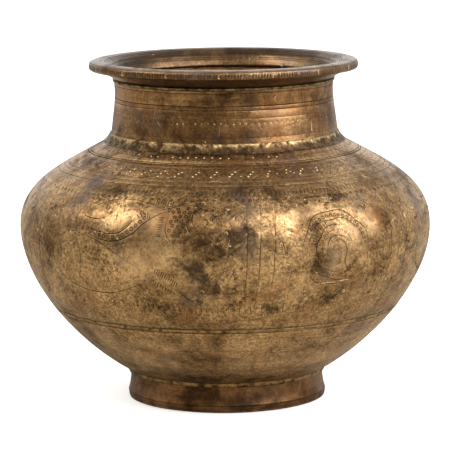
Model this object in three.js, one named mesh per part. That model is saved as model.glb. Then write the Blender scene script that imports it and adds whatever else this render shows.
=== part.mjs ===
// Lota: a round-bellied brass water pot with a short neck, a broad flat rim and a ring foot.
// Five turned brass castings (foot ring, lower bowl, upper body, neck collar, rim ring) are
// joined by four rings of yellow brazing spelter. Nothing on it moves.
//
// Millimetres, +Z up, origin at the middle of the foot's underside. Every piece is turned about Z,
// so every piece is one closed section of [radius, height] points carried round that axis.

import * as THREE from "three";

// Overall sizes
const potHeight = 124;            // floor to the crest of the rim
const bellyRadius = 75;           // outside, at the widest circle
const bellyHeight = 63.8;         // floor to the widest circle

// Rim ring
const rimRadius = 49;             // outside of the lip
const rimHeight = 7;              // joint with the neck up to the crest
const lipThickness = 3.4;         // upright edge of the lip
const crestWidth = 3.7;           // lip's outside in to the crest line

// Neck collar
const neckHeight = 19.6;          // shoulder's opening up to the rim joint
const neckTopRadius = 40;         // outside, at the rim joint
const neckWaistRadius = 39.7;     // outside, where the neck is slimmest
const neckWaistShare = 0.74;      // how far up the neck the waist lies
const neckRootRadius = 41.6;      // outside, where it stands on the shoulder
const neckWall = 2.5;

// Body
const bodyWall = 2.2;
const seamHeight = 35;            // floor to the seam between the bowl and the upper body
const lapHeight = 3;              // how far the bowl's lip rises inside the upper body
const undersideHeight = 5.2;      // floor to the middle of the bowl's underside

// Foot ring
const footRadius = 35.2;          // outside, where the bowl meets it
const footHeight = 10.35;         // floor to the circle where the bowl meets its outside
const footWall = 3.4;
const footToeFlare = 1.2;         // how much the foot's toe stands out past its outside
const footToeHeight = 3.2;
const footEdgeRound = 0.9;        // softened corners of the foot's underside

// Brazed joints
const jointFilm = 0.4;            // spelter between two castings
const fitGap = 0.05;              // clearance on each side of that film
const seamFilm = 1;               // height of spelter showing at the body seam
const rimBeadWidth = 0.5;         // bead standing out of the rim joint
const neckBeadWidth = 2.6;        // bead on the shoulder, out from the neck
const neckBeadRise = 1.8;         // the same bead, up the neck
const footBeadWidth = 1.3;        // bead on the bowl, out from the foot
const footBeadDrop = 0.8;         // the same bead, down the foot

// Heights that follow from the sizes above
const rimJointHeight = potHeight - rimHeight;
const shoulderHeight = rimJointHeight - neckHeight;
const neckBoreRadius = neckTopRadius - neckWall;
const mouthEdgeRadius = neckRootRadius - neckWall;

// Fineness
const turnSteps = 60;             // facets round every piece, all in step with each other
const sweepSteps = 10;            // facets along one sweep of the belly

// The belly's outside leaves the widest circle upright and ends on the given circle. rise is the
// share of the climb that the first handle takes; lean and drop place the second handle.
function bellySweep(endRadius, endHeight, rise, lean, drop) {
  const run = bellyRadius - endRadius;
  const climb = endHeight - bellyHeight;
  return new THREE.CubicBezierCurve(
    new THREE.Vector2(bellyRadius, bellyHeight),
    new THREE.Vector2(bellyRadius, bellyHeight + rise * climb),
    new THREE.Vector2(endRadius + lean * run, endHeight - drop * climb),
    new THREE.Vector2(endRadius, endHeight)
  );
}

// The bowl's underside carries on the belly's slope inside the foot and flattens to the middle.
function undersideSweep(bellyCurve) {
  const slope = bellyCurve.getTangent(1);
  const fall = footHeight - undersideHeight;
  const turnRadius = Math.max(footRadius - (fall * slope.x) / slope.y, 0);
  return new THREE.QuadraticBezierCurve(
    new THREE.Vector2(footRadius, footHeight),
    new THREE.Vector2(turnRadius, undersideHeight),
    new THREE.Vector2(0, undersideHeight)
  );
}

const shoulderCurve = bellySweep(mouthEdgeRadius, shoulderHeight, 0.5444, 0.4508, 0.3152);
const bowlCurve = bellySweep(footRadius, footHeight, 0.3178, 0.5983, 0.2455);
const undersideCurve = undersideSweep(bowlCurve);

const neckCurve = new THREE.SplineCurve([
  new THREE.Vector2(neckRootRadius, surfacePoint(shoulderCurve, "x", neckRootRadius).y),
  new THREE.Vector2(neckWaistRadius, shoulderHeight + neckWaistShare * neckHeight),
  new THREE.Vector2(neckTopRadius, rimJointHeight)
]);

// Shares of the curves at which a joint starts or ends. The castings and their spelter all have a
// corner at each of these, so their flat facets lie side by side.
const neckFootHeight = surfacePoint(shoulderCurve, "x", neckRootRadius).y + jointFilm;
const neckFootShare = shareAt(neckCurve, "y", neckFootHeight);
const neckBeadShare = shareAt(neckCurve, "y", neckFootHeight + neckBeadRise);
const neckSeatShare = shareAt(shoulderCurve, "x", neckRootRadius);
const neckToeShare = shareAt(shoulderCurve, "x", neckRootRadius + neckBeadWidth);
const footToeShare = shareAt(bowlCurve, "x", footRadius + footBeadWidth);
const footInnerShare = shareAt(undersideCurve, "x", footRadius - footWall);
const footInnerHeight = undersideCurve.getPoint(footInnerShare).y;

// Finds how far along a curve its radius ("x") or height ("y") reaches a value, by halving.
function shareAt(curve, direction, value) {
  let low = 0;
  let high = 1;
  const rising = curve.getPoint(1)[direction] > curve.getPoint(0)[direction];
  for (let halving = 0; halving < 40; halving += 1) {
    const middle = (low + high) / 2;
    if (curve.getPoint(middle)[direction] < value === rising) low = middle;
    else high = middle;
  }
  return (low + high) / 2;
}

function surfacePoint(curve, direction, value) {
  return curve.getPoint(shareAt(curve, direction, value));
}

// A point set in from an outside curve by depth, square to it. The metal lies towards the axis,
// which is left of a curve that climbs and right of one that falls.
function insetPoint(curve, share, depth) {
  const point = curve.getPoint(share);
  const tangent = curve.getTangent(share);
  const climbing = curve.getPoint(1).y > curve.getPoint(0).y ? 1 : -1;
  return [
    Math.max(point.x - climbing * tangent.y * depth, 0),
    point.y + climbing * tangent.x * depth
  ];
}

// Evenly shared points of a curve between two shares of it, all set in by depth.
function insetRun(curve, from, to, steps, depth) {
  const run = [];
  for (let step = 0; step <= steps; step += 1) {
    run.push(insetPoint(curve, from + ((to - from) * step) / steps, depth));
  }
  return run;
}

// Where a piece that fits round a casting's corner has its own corner: fitGap clear of both edges
// that meet there. The casting's outline runs before, corner, after with its metal on the left.
function cornerOutside(before, corner, after) {
  const square = (from, to) => {
    const length = Math.hypot(to[0] - from[0], to[1] - from[1]);
    return [(to[1] - from[1]) / length, (from[0] - to[0]) / length];
  };
  const first = square(before, corner);
  const second = square(corner, after);
  const reach = fitGap / (1 + first[0] * second[0] + first[1] * second[1]);
  return [
    corner[0] + (first[0] + second[0]) * reach,
    corner[1] + (first[1] + second[1]) * reach
  ];
}

// Leaves out each point that repeats the one before it, where two runs meet.
function joined(...runs) {
  return runs.flat().filter(([radius, height], index, all) => {
    const [lastRadius, lastHeight] = index > 0 ? all[index - 1] : [-1, -1];
    return Math.hypot(radius - lastRadius, height - lastHeight) > 1e-6;
  });
}

// Carries a section round the Z axis. A section that leaves the axis also returns to it; any
// other is closed on its first point. Sections run up their outside and down their inside.
function turned(section) {
  const outline = section.map(([radius, height]) => new THREE.Vector2(radius, height));
  const ring = section[0][0] > 0;
  if (ring) outline.push(outline[0].clone());
  const solid = new THREE.LatheGeometry(outline, turnSteps);
  solid.rotateX(Math.PI / 2);
  return solid;
}

// The rim: a cove out of the neck, an upright lip with rounded edges, and a funnel down to the bore.
function rimRing() {
  const seat = rimJointHeight + jointFilm / 2;
  const lipFoot = potHeight - lipThickness;
  const crestRadius = rimRadius - crestWidth;
  const cove = new THREE.QuadraticBezierCurve(
    new THREE.Vector2(neckTopRadius, seat),
    new THREE.Vector2(neckTopRadius + 0.2 * (rimRadius - neckTopRadius), lipFoot - 0.3 * lipThickness),
    new THREE.Vector2(rimRadius - 0.5, lipFoot)
  );
  const lip = new THREE.CubicBezierCurve(
    new THREE.Vector2(rimRadius - 0.5, lipFoot),
    new THREE.Vector2(rimRadius + 0.2, lipFoot + 0.35 * lipThickness),
    new THREE.Vector2(rimRadius + 0.1, potHeight - 0.1 * lipThickness),
    new THREE.Vector2(crestRadius, potHeight)
  );
  const funnel = new THREE.QuadraticBezierCurve(
    new THREE.Vector2(crestRadius, potHeight),
    new THREE.Vector2(neckBoreRadius + 0.35 * (crestRadius - neckBoreRadius), potHeight - 0.2),
    new THREE.Vector2(neckBoreRadius, seat)
  );
  const points = (curve, steps) => curve.getPoints(steps).map((point) => [point.x, point.y]);
  return turned(joined(points(cove, 4), points(lip, 6), points(funnel, 5)));
}

// The film of spelter between the neck and the rim, with a small round bead showing.
function rimBraze() {
  const low = rimJointHeight - jointFilm / 2 + fitGap;
  const high = rimJointHeight + jointFilm / 2 - fitGap;
  return turned([
    [neckBoreRadius, low],
    [neckTopRadius, low],
    [neckTopRadius + rimBeadWidth, (low + high) / 2 - fitGap],
    [neckTopRadius, high],
    [neckBoreRadius, high]
  ]);
}

// The neck: a waisted collar whose foot is cut to the shoulder's slope.
function neckCollar() {
  const topShare = shareAt(neckCurve, "y", rimJointHeight - jointFilm / 2);
  const outside = joined(
    insetRun(neckCurve, neckFootShare, neckBeadShare, 1, 0),
    insetRun(neckCurve, neckBeadShare, topShare, 6, 0)
  );
  const foot = [mouthEdgeRadius, shoulderHeight + jointFilm];
  const inside = insetRun(neckCurve, topShare, shareAt(neckCurve, "y", foot[1]), 7, 0)
    .map(([radius, height]) => [radius - neckWall, height]);
  return turned(joined(outside, inside.slice(0, -1), [foot]));
}

// The film under the neck and its bead, which fills the corner between neck and shoulder.
function neckBraze() {
  const [toeRadius, toeHeight] = insetPoint(shoulderCurve, neckToeShare, -fitGap);
  const [beadRadius, beadHeight] = insetPoint(neckCurve, neckBeadShare, 0);
  const neckFoot = insetPoint(neckCurve, neckFootShare, 0);
  const neckFootInside = [mouthEdgeRadius, shoulderHeight + jointFilm];
  return turned([
    [mouthEdgeRadius, shoulderHeight + fitGap],
    insetPoint(shoulderCurve, neckSeatShare, -fitGap),
    [toeRadius, toeHeight],
    [toeRadius - 0.2 * neckBeadWidth, toeHeight + 0.5 * neckBeadRise],
    [beadRadius + 0.3 * neckBeadWidth, beadHeight - 0.15 * neckBeadRise],
    [beadRadius + fitGap, beadHeight],
    cornerOutside(neckFootInside, neckFoot, [beadRadius, beadHeight]),
    [mouthEdgeRadius, shoulderHeight + jointFilm - fitGap]
  ]);
}

// The upper body: from the seam, over the belly and shoulder, to the opening under the neck. Its
// lower edge is halved so that it laps outside the bowl's lip.
function upperBody() {
  const edge = shareAt(bowlCurve, "y", seamHeight + seamFilm / 2);
  const lap = shareAt(bowlCurve, "y", seamHeight + lapHeight);
  const lapDepth = bodyWall / 2 - fitGap;
  return turned(joined(
    insetRun(bowlCurve, edge, 0, 5, 0),
    insetRun(shoulderCurve, 0, neckToeShare, sweepSteps - 1, 0),
    insetRun(shoulderCurve, neckToeShare, neckSeatShare, 1, 0),
    insetRun(shoulderCurve, neckSeatShare, 1, 1, 0),
    insetRun(shoulderCurve, 1, 0, sweepSteps, bodyWall),
    insetRun(bowlCurve, 0, lap, 4, bodyWall),
    [insetPoint(bowlCurve, lap, lapDepth), insetPoint(bowlCurve, edge, lapDepth)]
  ));
}

// The spelter in the body seam: a ring as deep as half the wall, standing slightly proud.
function bodySeamBraze() {
  const high = shareAt(bowlCurve, "y", seamHeight + seamFilm / 2 - fitGap);
  const middle = shareAt(bowlCurve, "y", seamHeight);
  const low = shareAt(bowlCurve, "y", seamHeight - seamFilm / 2 + fitGap);
  const depth = bodyWall / 2 - fitGap;
  return turned([
    insetPoint(bowlCurve, low, 0),
    insetPoint(bowlCurve, middle, -2 * fitGap),
    insetPoint(bowlCurve, high, 0),
    insetPoint(bowlCurve, high, depth),
    insetPoint(bowlCurve, low, depth)
  ]);
}

// The lower bowl: a round bottom with a thin lip that rises inside the upper body.
function lowerBowl() {
  const edge = shareAt(bowlCurve, "y", seamHeight - seamFilm / 2);
  const lap = shareAt(bowlCurve, "y", seamHeight + lapHeight - 2 * fitGap);
  const lapDepth = bodyWall / 2 + fitGap;
  return turned(joined(
    insetRun(undersideCurve, 1, footInnerShare, 4, 0),
    insetRun(undersideCurve, footInnerShare, 0, 1, 0),
    insetRun(bowlCurve, 1, footToeShare, 1, 0),
    insetRun(bowlCurve, footToeShare, edge, sweepSteps - 3, 0),
    [insetPoint(bowlCurve, edge, lapDepth), insetPoint(bowlCurve, lap, lapDepth)],
    insetRun(bowlCurve, lap, 1, sweepSteps, bodyWall),
    insetRun(undersideCurve, 0, 1, 5, bodyWall)
  ));
}

// The film over the foot and its bead, which shows as a thin bright line.
function footBraze() {
  const inner = footRadius - footWall;
  const footTop = footHeight - jointFilm;
  const beadFoot = [footRadius, footTop - footBeadDrop];
  const footTopInside = [inner, footInnerHeight - jointFilm];
  return turned([
    [footRadius + fitGap, footTop - footBeadDrop],
    [footRadius + 0.6 * footBeadWidth, footTop - 0.4 * footBeadDrop],
    insetPoint(bowlCurve, footToeShare, -fitGap),
    [footRadius, footHeight - fitGap],
    [inner, footInnerHeight - fitGap],
    [inner, footInnerHeight - jointFilm + fitGap],
    cornerOutside(beadFoot, [footRadius, footTop], footTopInside)
  ]);
}

// The foot: a stout ring with a flared toe, cut on top to the slope of the bowl's underside.
function footRing() {
  const inner = footRadius - footWall;
  const toeRadius = footRadius + footToeFlare;
  return turned([
    [inner + footEdgeRound, 0],
    [footRadius - 0.3 * footEdgeRound, 0],
    [toeRadius - 0.4 * footEdgeRound, 0.4 * footEdgeRound],
    [toeRadius, 0.5 * footToeHeight],
    [footRadius + 0.4 * footToeFlare, footToeHeight],
    [footRadius, 2 * footToeHeight],
    [footRadius, footHeight - jointFilm],
    [inner, footInnerHeight - jointFilm],
    [inner, footEdgeRound]
  ]);
}

const agedBrass = { color: 0x8a6437, roughness: 0.42, metalness: 1 };
const brownedBrass = { color: 0x6b4a2c, roughness: 0.48, metalness: 1 };
const spelter = { color: 0xc09a52, roughness: 0.5, metalness: 1 };

const pieces = [
  ["foot_ring", footRing(), brownedBrass],
  ["foot_braze", footBraze(), spelter],
  ["lower_bowl", lowerBowl(), agedBrass],
  ["body_seam_braze", bodySeamBraze(), spelter],
  ["upper_body", upperBody(), agedBrass],
  ["neck_braze", neckBraze(), spelter],
  ["neck_collar", neckCollar(), brownedBrass],
  ["rim_braze", rimBraze(), spelter],
  ["rim_ring", rimRing(), brownedBrass]
];

const group = new THREE.Group();
for (const [name, geometry, finish] of pieces) {
  const mesh = new THREE.Mesh(geometry, new THREE.MeshStandardMaterial(finish));
  mesh.name = name;
  group.add(mesh);
}

export default group;
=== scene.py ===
import math

import bpy
import numpy as np
from mathutils import Matrix, Vector
from mathutils.geometry import delaunay_2d_cdt


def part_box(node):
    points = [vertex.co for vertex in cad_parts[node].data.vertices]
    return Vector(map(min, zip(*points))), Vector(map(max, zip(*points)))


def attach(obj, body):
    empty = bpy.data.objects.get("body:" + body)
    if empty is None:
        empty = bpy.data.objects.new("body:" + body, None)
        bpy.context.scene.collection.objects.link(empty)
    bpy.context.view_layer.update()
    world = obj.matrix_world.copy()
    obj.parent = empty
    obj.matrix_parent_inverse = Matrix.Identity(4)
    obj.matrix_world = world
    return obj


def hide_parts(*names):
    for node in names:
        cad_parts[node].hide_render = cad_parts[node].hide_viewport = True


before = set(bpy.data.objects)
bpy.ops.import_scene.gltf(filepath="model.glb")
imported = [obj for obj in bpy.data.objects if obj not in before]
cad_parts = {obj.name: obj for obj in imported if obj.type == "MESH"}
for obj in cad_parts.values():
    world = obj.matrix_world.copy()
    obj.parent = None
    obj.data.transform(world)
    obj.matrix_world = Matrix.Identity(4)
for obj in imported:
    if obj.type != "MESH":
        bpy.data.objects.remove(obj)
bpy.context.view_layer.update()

# A lota: a round brass water pot, put together here from the foot up. Outlines and cuts are laid
# out in millimetres; angles run round the pot from its front, growing to the right.
MM = 0.001
rng = np.random.default_rng(7)

# ------------------------------------------------------------------------------- foot ring
# A stout cast ring with a flared toe, turned on the outside and worn dark and smooth where it
# rubs the floor. It is one closed outline carried round the pot's axis.


def warp(angle, height):
    """How far hand work pushed the wall out, in mm: a sum of slow waves round and up the pot."""
    out = 0.10 * np.sin(2 * angle + 0.6) * np.sin(height / 34 + 0.4)
    out += 0.07 * np.sin(5 * angle + height / 9 + 1.3)
    out += 0.045 * np.sin(9 * angle - height / 6.5 + 2.1)
    out += 0.030 * np.sin(14 * angle + height / 4.3)
    return out


def on_pot(angle, radius, height):
    """Points in metres at an angle, radius and height in mm, after the warp moves the radius."""
    moved = np.where(radius > 5, radius + warp(angle, height), radius)
    flat = [moved * np.sin(angle), -moved * np.cos(angle), height + 0 * angle]
    return np.stack(np.broadcast_arrays(*flat), axis=-1) * MM


def softened(corners, step=0.6):
    """A closed outline through (radius, height, rounding) corners: each corner becomes the curve
    (1-t)^2 a + 2t(1-t) corner + t^2 b between points a and b one rounding away along its edges."""
    corners = np.array(corners, float)
    at, rounding = corners[:, :2], corners[:, 2:]
    back = np.roll(at, 1, axis=0) - at
    ahead = np.roll(at, -1, axis=0) - at
    back /= np.linalg.norm(back, axis=1, keepdims=True)
    ahead /= np.linalg.norm(ahead, axis=1, keepdims=True)
    t = np.linspace(0, 1, 6)[:, None, None]
    start, end = at + back * rounding, at + ahead * rounding
    arcs = (1 - t) ** 2 * start + 2 * t * (1 - t) * at + t ** 2 * end
    path = arcs.transpose(1, 0, 2).reshape(-1, 2)
    return spaced(np.vstack([path, path[:1]]), step)[:-1]


def spaced(path, step):
    """The same path with extra points wherever two lie further apart than step."""
    pieces = []
    for a, b in zip(path[:-1], path[1:]):
        count = max(int(math.ceil(np.linalg.norm(b - a) / step)), 1)
        share = np.arange(count)[:, None] / count
        pieces.append(a + (b - a) * share)
    pieces.append(path[-1:])
    points = np.vstack(pieces)
    keep = np.append(np.linalg.norm(np.diff(points, axis=0), axis=1) > 1e-4, True)
    return points[keep]


def finished(name, points, faces, stands_for, material, flat=None, values=None):
    """Puts points and faces into a mesh object that rides on the pot and stands for a CAD node."""
    mesh = bpy.data.meshes.new(name)
    mesh.from_pydata(points.tolist(), [], faces)
    smooth = np.ones(len(mesh.polygons), bool) if flat is None else ~flat
    mesh.polygons.foreach_set("use_smooth", smooth)
    for label, value in (values or {}).items():
        mesh.attributes.new(label, "FLOAT", "POINT").data.foreach_set("value", value)
    mesh.materials.append(material)
    piece = bpy.data.objects.new(name, mesh)
    bpy.context.collection.objects.link(piece)
    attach(piece, "root")
    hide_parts(stands_for)
    return piece


def turned_ring(name, outline, columns, stands_for, material, lumps=None, stains_and_painted_light=()):
    """Carries a closed outline round the axis: point (i, j) is outline point j at angle
    2 pi i / columns. lumps(angle, radius, height) moves it out along the outline's own normal.
    Each stain is a bell (degrees, height, half width, half height, strength) on the outside."""
    angle = np.linspace(-np.pi, np.pi, columns, endpoint=False)[:, None]
    radius, height = outline[None, :, 0], outline[None, :, 1]
    if lumps is not None:
        run = np.roll(outline, -1, axis=0) - np.roll(outline, 1, axis=0)
        run /= np.linalg.norm(run, axis=1, keepdims=True)
        raised = lumps(angle, radius, height)
        radius = radius + raised * run[None, :, 1]
        height = height - raised * run[None, :, 0]
    points = on_pot(angle, radius, height).reshape(-1, 3)
    rows = len(outline)
    i, j = np.meshgrid(np.arange(columns), np.arange(rows), indexing="ij")
    right, up = (i + 1) % columns, (j + 1) % rows
    corners = [i * rows + j, right * rows + j, right * rows + up, i * rows + up]
    faces = np.stack(corners, axis=-1).reshape(-1, 4).tolist()
    marked = np.zeros((columns, rows))
    for degrees, level, wide, tall, strength in stains_and_painted_light:
        x = (angle - math.radians(degrees)) * radius / wide
        marked += strength * np.exp(-0.8 * (x ** 2 + ((height - level) / tall) ** 2))
    values = {"stain_and_painted_light": np.clip(marked, -1, 1).ravel()}
    return finished(name, points, faces, stands_for, material, None, values)


def node_kit(name):
    """A new node material, and a function that adds one node with its settings and its inputs."""
    material = bpy.data.materials.new(name)
    material.use_nodes = True
    tree = material.node_tree
    tree.nodes.clear()

    def add(kind, inputs=None, **settings):
        node = tree.nodes.new("ShaderNode" + kind)
        for key, value in settings.items():
            setattr(node, key, value)
        for key, value in (inputs or {}).items():
            if isinstance(value, bpy.types.NodeSocket):
                tree.links.new(value, node.inputs[key])
            else:
                node.inputs[key].default_value = value
        return node

    return material, add


def ramp(add, value, *stops):
    """A colour ramp node: stops are (place, colour) or (place, grey)."""
    node = add("ValToRGB", {"Fac": value})
    while len(node.color_ramp.elements) < len(stops):
        node.color_ramp.elements.new(0.5)
    for element, (place, colour) in zip(node.color_ramp.elements, stops):
        element.position = place
        grey = isinstance(colour, (int, float))
        element.color = (colour, colour, colour, 1) if grey else (*colour, 1)
    return node.outputs["Color"]


def blended(add, share, first, second, how="MIX"):
    """A colour mix node of two colours or sockets by a share."""
    node = add("Mix", data_type="RGBA", blend_type=how)
    for index, value in ((0, share), (6, first), (7, second)):
        if isinstance(value, bpy.types.NodeSocket):
            node.id_data.links.new(value, node.inputs[index])
        elif index == 0:
            node.inputs[0].default_value = value
        else:
            node.inputs[index].default_value = (*value, 1)
    return node.outputs[2]


def aged_brass(name, gold, brown, dark, rough, grain=0.6, mottle=1.0):
    """Old brass: gold in worn patches and where painted highlights lie, brown over most of it, dark
    in patches and cuts. Cloudy noise picks the patches, finer noise the pits, and thin rings follow
    the lathe. grain is the share of pitting and mottle the share of ragged blots. The mesh's own
    values lay on top: tarnish and some painted shade, rubbed metal and some painted highlights and
    painted light, dirt in the cuts, and knocks and punches painted bright, some of them as lamp
    glints."""
    material, add = node_kit(name)
    place = add("TexCoord").outputs["Object"]
    clouds = add("TexNoise", {"Vector": place, "Scale": 26, "Detail": 5, "Roughness": 0.62,
                              "Distortion": 0.5}).outputs["Fac"]
    patches = add("TexNoise", {"Vector": place, "Scale": 105, "Detail": 7, "Roughness": 0.7,
                               "Distortion": 0.8}).outputs["Fac"]
    specks = add("TexNoise", {"Vector": place, "Scale": 1050, "Detail": 3,
                              "Roughness": 0.7}).outputs["Fac"]
    flat_place = add("VectorMath", {0: place, 1: (1, 1, 0)}, operation="MULTIPLY").outputs[0]
    reach = add("VectorMath", {0: flat_place}, operation="LENGTH").outputs["Value"]
    level = add("SeparateXYZ", {0: place}).outputs["Z"]
    turned = add("Math", {0: reach, 1: 1.5, 2: level}, operation="MULTIPLY_ADD").outputs[0]
    shifted = add("CombineXYZ", {"Z": turned}).outputs[0]
    shifted = add("VectorMath", {0: flat_place, 1: shifted}, operation="ADD").outputs[0]
    along_lathe = add("Mapping", {"Vector": shifted, "Scale": (9, 9, 1000)}).outputs["Vector"]
    rings = add("TexNoise", {"Vector": along_lathe, "Scale": 1, "Detail": 3,
                             "Roughness": 0.6}).outputs["Fac"]

    cover = add("Math", {0: clouds, 1: patches}, operation="ADD").outputs[0]
    base = ramp(add, add("Math", {0: cover, 1: 0.5}, operation="MULTIPLY").outputs[0],
                (0.40, dark), (0.47, brown), (0.56, gold),
                (0.66, tuple(min(c * 1.25, 1) for c in gold)))
    pitted = ramp(add, specks, (0.37, 0.30), (0.50, 0.95), (0.62, 1.55))
    base = blended(add, grain, base, pitted, "MULTIPLY")
    base = blended(add, 0.35, base, ramp(add, rings, (0.38, 0.62), (0.60, 1.1)), "MULTIPLY")
    red_spots = add("TexNoise", {"Vector": place, "Scale": 70, "Detail": 4, "Roughness": 0.6,
                                 "W": 5.0}, noise_dimensions="4D").outputs["Fac"]
    red = ramp(add, red_spots, (0.54, 0.0), (0.68, 0.7))
    base = blended(add, red, base, tuple(c * f for c, f in zip(brown, (0.95, 0.72, 0.6))))
    tarnish = add("TexNoise", {"Vector": place, "Scale": 58, "Detail": 3, "Roughness": 0.5,
                               "W": 3.0}, noise_dimensions="4D").outputs["Fac"]
    grey = ramp(add, tarnish, (0.55, 0.0), (0.70, 0.8))
    base = blended(add, grey, base, (0.130, 0.090, 0.068))
    green_spots = add("TexNoise", {"Vector": place, "Scale": 150, "Detail": 4, "Roughness": 0.6,
                                   "W": 8.0}, noise_dimensions="4D").outputs["Fac"]
    green = ramp(add, green_spots, (0.66, 0.0), (0.74, 0.6))
    base = blended(add, green, base, (0.17, 0.19, 0.09))

    roughness = ramp(add, cover, (0.80, rough + 0.16), (1.10, rough), (1.30, rough - 0.05))
    metal = ramp(add, grey, (0.0, 1.0), (1.0, 0.85))
    height = add("Math", {0: specks, 1: 0.5, 2: patches}, operation="MULTIPLY_ADD").outputs[0]
    height = add("Math", {0: rings, 1: 0.35, 2: height}, operation="MULTIPLY_ADD").outputs[0]
    bump = add("Bump", {"Height": height, "Strength": 0.34, "Distance": 0.0004}).outputs["Normal"]
    stain_and_painted_light = add("Attribute", attribute_name="stain_and_painted_light").outputs["Fac"]
    blots = add("TexNoise", {"Vector": place, "Scale": 215, "Detail": 6, "Roughness": 0.68,
                             "Distortion": 0.5}).outputs["Fac"]
    glints = add("Math", {0: blots, 1: -5.5, 2: 2.35}, operation="MULTIPLY_ADD",
                 use_clamp=True).outputs[0]
    base = blended(add, ramp(add, glints, (0.0, 0.0), (1.0, 0.7 * mottle)), base,
                   (gold[0] * 1.4, gold[1] * 1.4, gold[2] * 1.3))
    # Dark: ragged blots and stain values above nought, which are tarnish and, at some bells, painted
    # shade.
    dirt_and_painted_shade = add("Math", {0: blots, 1: 5.0 * mottle, 2: -2.95 * mottle},
               operation="MULTIPLY_ADD").outputs[0]
    dirt_and_painted_shade = add("Math", {0: stain_and_painted_light, 1: 1.25, 2: dirt_and_painted_shade}, operation="MULTIPLY_ADD",
               use_clamp=True).outputs[0]
    base = blended(add, ramp(add, dirt_and_painted_shade, (0.0, 0.0), (1.0, 0.88)), base, (0.050, 0.028, 0.016))
    # Light: stain values below nought turn the metal pale gold; these are rubbed metal and, at some
    # bells, painted highlights and painted light.
    rubbed_and_painted_light = add("Math", {0: stain_and_painted_light, 1: -1.15}, operation="MULTIPLY", use_clamp=True).outputs[0]
    uneven = ramp(add, blots, (0.40, 1.0), (0.62, 0.35))
    rubbed_and_painted_light = add("Math", {0: rubbed_and_painted_light, 1: uneven}, operation="MULTIPLY").outputs[0]
    base = blended(add, rubbed_and_painted_light, base, (1.6, 1.6, 1.7), "MULTIPLY")
    rubbed_and_painted_light = add("Math", {0: rubbed_and_painted_light, 1: 0.6}, operation="MULTIPLY").outputs[0]
    base = blended(add, rubbed_and_painted_light, base, (gold[0] * 1.32, gold[1] * 1.40, gold[2] * 1.55))
    groove = add("Attribute", attribute_name="groove").outputs["Fac"]
    fill = ramp(add, groove, (0.0, 0.0), (0.35, 0.85), (1.0, 1.0))
    base = blended(add, fill, base, (0.030, 0.018, 0.010))
    roughness = blended(add, fill, roughness, (0.75, 0.75, 0.75))
    # Bright cuts go pale gold: real scratches and knocks, and punches painted bright as the lamps'
    # highlights in their pits.
    scratch_and_painted_glint = add("Attribute", attribute_name="scratch_and_painted_glint").outputs["Fac"]
    base = blended(add, ramp(add, scratch_and_painted_glint, (0.0, 0.0), (0.3, 0.8)), base, (0.72, 0.53, 0.32))
    shader = add("BsdfPrincipled", {"Base Color": base, "Roughness": roughness,
                                    "Metallic": metal, "Normal": bump})
    add("OutputMaterial", {"Surface": shader.outputs["BSDF"]})
    return material


browned_brass = aged_brass("browned_brass", (0.36, 0.200, 0.085), (0.190, 0.098, 0.040),
                           (0.080, 0.040, 0.018), 0.40, grain=0.45, mottle=0.5)
foot_brass = aged_brass("foot_brass", (0.225, 0.116, 0.050), (0.100, 0.046, 0.018),
                        (0.030, 0.013, 0.006), 0.42, grain=0.4, mottle=0.5)

foot_top = 9.95
foot_outline = softened([
    (31.8, 0.0, 0.8), (35.8, 0.0, 0.9), (36.5, 1.8, 1.7), (35.5, 4.9, 2.6),
    (35.2, foot_top, 0.15), (31.8, 8.44, 0.15),
])
turned_ring("foot_ring_turned", foot_outline, 300, "foot_ring", foot_brass,
            stains_and_painted_light=[
                (22, 5, 16, 4, 0.8), (5, 3, 9, 2, 0.5), (-20, 7, 5, 3, 0.5),
                (-62, 5, 9, 6, -0.55), (-42, 6, 6, 4, -0.4),
                (-32, 2.5, 5, 2, -0.6), (-10, 2, 4, 2, -0.5), (55, 6, 9, 5, -0.3),
                (120, 5, 14, 4, 0.8), (160, 2, 5, 2, -0.6), (-150, 5, 12, 4, 0.7),
            ])

# ------------------------------------------------------------------------------ foot braze
# The spelter that ran out of the joint between foot and bowl: a thin lumpy line, pale yellow
# where it was filed and rubbed.


def lumpy(size, seed):
    """A function giving lumps up to size mm high: fine waves round the pot with random phases,
    squared so that runs of spelter stand out from thinner stretches."""
    draw = np.random.default_rng(seed)
    turns = draw.integers(5, 150, 22)
    phases = draw.uniform(0, 2 * np.pi, 22)

    def lumps(angle, radius, height):
        waves = sum(np.sin(n * angle + p + height * 1.4 + radius) for n, p in zip(turns, phases))
        waves = waves / math.sqrt(len(turns))
        return size * (waves * np.abs(waves) * 0.35 + 0.25 * waves)

    return lumps


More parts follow.
